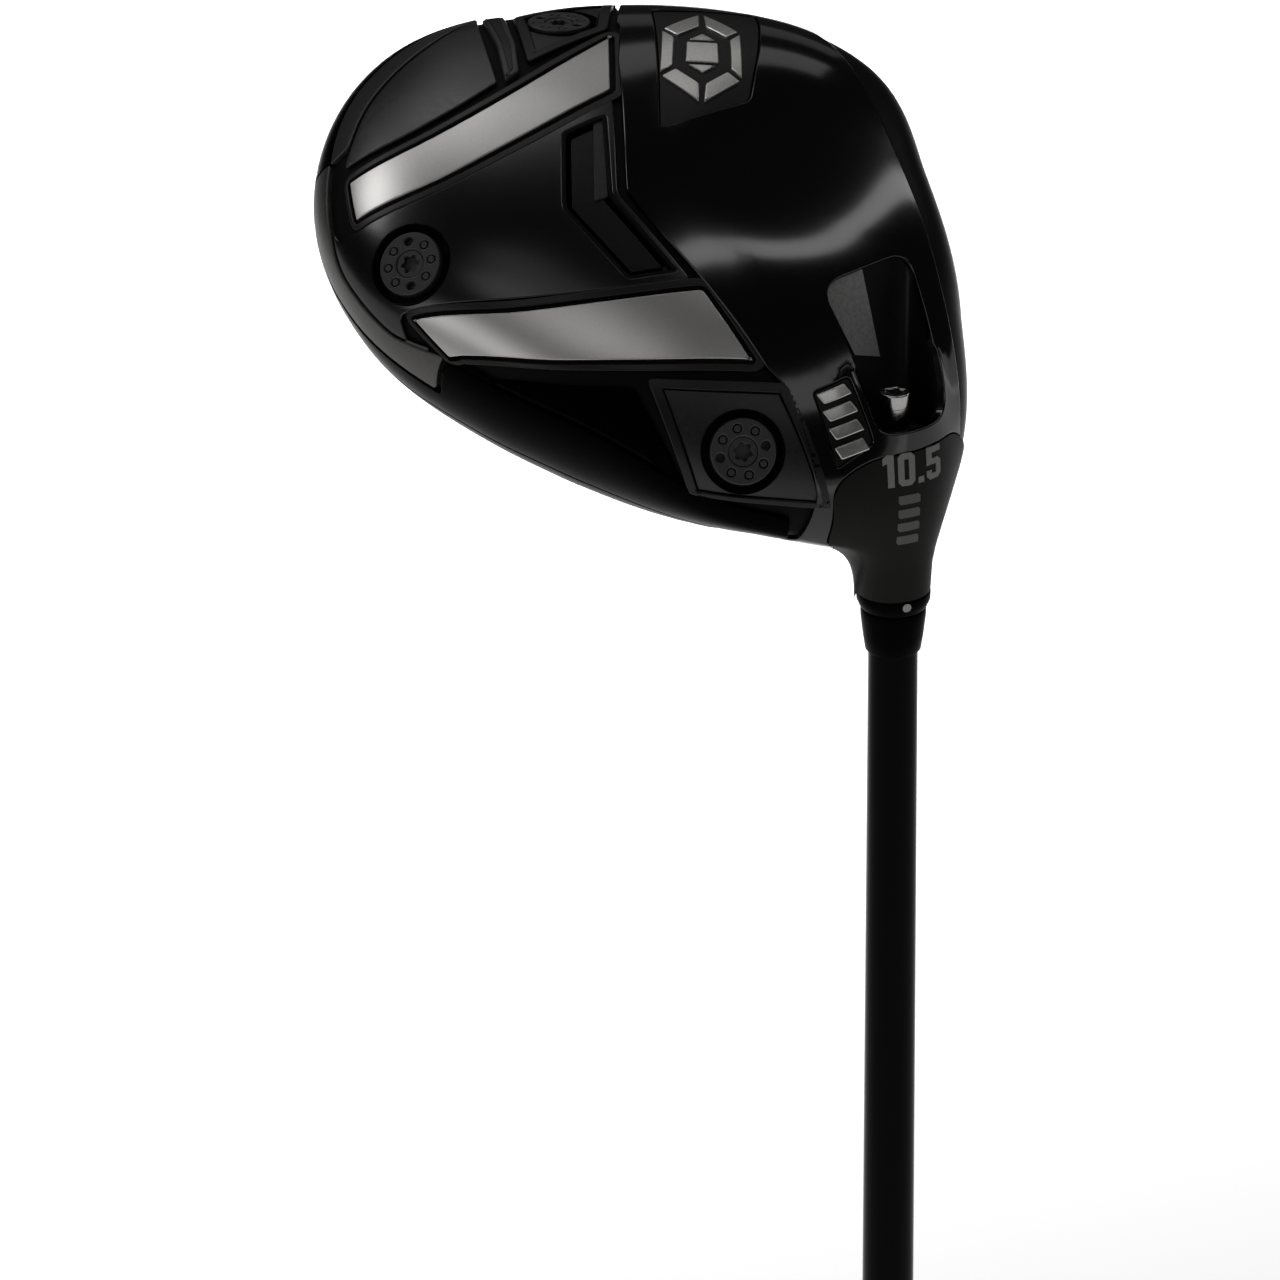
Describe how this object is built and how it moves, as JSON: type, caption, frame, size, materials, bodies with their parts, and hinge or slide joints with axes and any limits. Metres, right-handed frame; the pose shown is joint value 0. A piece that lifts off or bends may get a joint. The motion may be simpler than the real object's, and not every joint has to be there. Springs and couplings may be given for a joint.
{
  "type": "golf driver",
  "caption": "Golf driver: hollow head with screw-in sole weights and bolted hosel adapter, tapered graphite shaft and rubber grip.",
  "frame": {"origin": "centre of the flat end of the grip cap", "axes": "+Z along the shaft from the grip to the head, +X the way the face points, +Y towards the toe"},
  "size_m": [0.1098, 0.1167, 1.1913],
  "materials": {
    "head_titanium": "gloss black over titanium",
    "face_titanium": "satin dark grey",
    "gloss_carbon": "clear gloss over black carbon fibre",
    "polished_steel": "brushed and polished",
    "black_weight": "satin black",
    "black_aluminium": "black anodised",
    "black_polymer": "semi gloss",
    "black_rubber": "matte",
    "gloss_graphite": "high gloss black",
    "grip_tape": "matte"
  },
  "bodies": {
    "club_shaft": {"shaft": "gloss_graphite", "grip": "black_rubber", "grip_tape": "grip_tape", "grip_cap": "black_polymer", "adapter_sleeve": "black_aluminium", "ferrule": "black_polymer", "tip_plug": "black_rubber"},
    "index_ring": {"index_ring": "black_polymer"},
    "head": {"sole_body": "head_titanium", "face_cup": "face_titanium", "crown_panel": "gloss_carbon", "toe_sole_panel": "gloss_carbon", "heel_sole_panel": "gloss_carbon", "toe_strip": "polished_steel", "heel_strip": "polished_steel", "chevron_badge": "black_polymer", "sole_emblem": "polished_steel"},
    "bolt_washer": {"bolt_washer": "black_rubber"},
    "hosel_bolt": {"hosel_bolt": "polished_steel"},
    "rear_weight_seal": {"rear_weight_seal": "black_rubber"},
    "rear_weight": {"rear_weight": "black_weight"},
    "heel_weight_seal": {"heel_weight_seal": "black_rubber"},
    "heel_weight": {"heel_weight": "black_weight"},
    "toe_weight_seal": {"toe_weight_seal": "black_rubber"},
    "toe_weight": {"toe_weight": "black_weight"}
  },
  "joints": [
    {"name": "head_release", "type": "slide", "parent": "club_shaft", "child": "index_ring", "axis": [0, 0, 1], "range_m": [0, 0.035]},
    {"name": "loft_index", "type": "hinge", "parent": "index_ring", "child": "head", "pos_m": [0, 0, 1.1057], "axis": [0, 0, 1], "continuous": true},
    {"name": "bolt_travel", "type": "slide", "parent": "head", "child": "bolt_washer", "axis": [0, 0, 1], "range_m": [0, 0.0125]},
    {"name": "bolt_turn", "type": "hinge", "parent": "bolt_washer", "child": "hosel_bolt", "pos_m": [0, 0, 1.14], "axis": [0, 0, 1], "range_deg": [0, 5660]},
    {"name": "rear_weight_travel", "type": "slide", "parent": "head", "child": "rear_weight_seal", "axis": [-0.5928, -0.541, 0.5966], "range_m": [0, 0.009]},
    {"name": "rear_weight_turn", "type": "hinge", "parent": "rear_weight_seal", "child": "rear_weight", "pos_m": [-0.0745, 0.03761, 1.16456], "axis": [-0.5928, -0.541, 0.5966], "range_deg": [0, 3276]},
    {"name": "heel_weight_travel", "type": "slide", "parent": "head", "child": "heel_weight_seal", "axis": [-0.1811, -0.925, 0.3342], "range_m": [0, 0.009]},
    {"name": "heel_weight_turn", "type": "hinge", "parent": "heel_weight_seal", "child": "heel_weight", "pos_m": [-0.0295, -0.00393, 1.13778], "axis": [-0.1811, -0.925, 0.3342], "range_deg": [0, 3276]},
    {"name": "toe_weight_travel", "type": "slide", "parent": "head", "child": "toe_weight_seal", "axis": [0.0127, -0.0182, 0.9998], "range_m": [0, 0.009]},
    {"name": "toe_weight_turn", "type": "hinge", "parent": "toe_weight_seal", "child": "toe_weight", "pos_m": [-0.031, 0.0802, 1.19115], "axis": [0.0127, -0.0182, 0.9998], "range_deg": [0, 3276]}
  ],
  "couplings": [
    {"joint": "bolt_turn", "follows": "bolt_travel", "rad_per_m": 7854},
    {"joint": "rear_weight_turn", "follows": "rear_weight_travel", "rad_per_m": 6283.2},
    {"joint": "heel_weight_turn", "follows": "heel_weight_travel", "rad_per_m": 6283.2},
    {"joint": "toe_weight_turn", "follows": "toe_weight_travel", "rad_per_m": 6283.2}
  ]
}
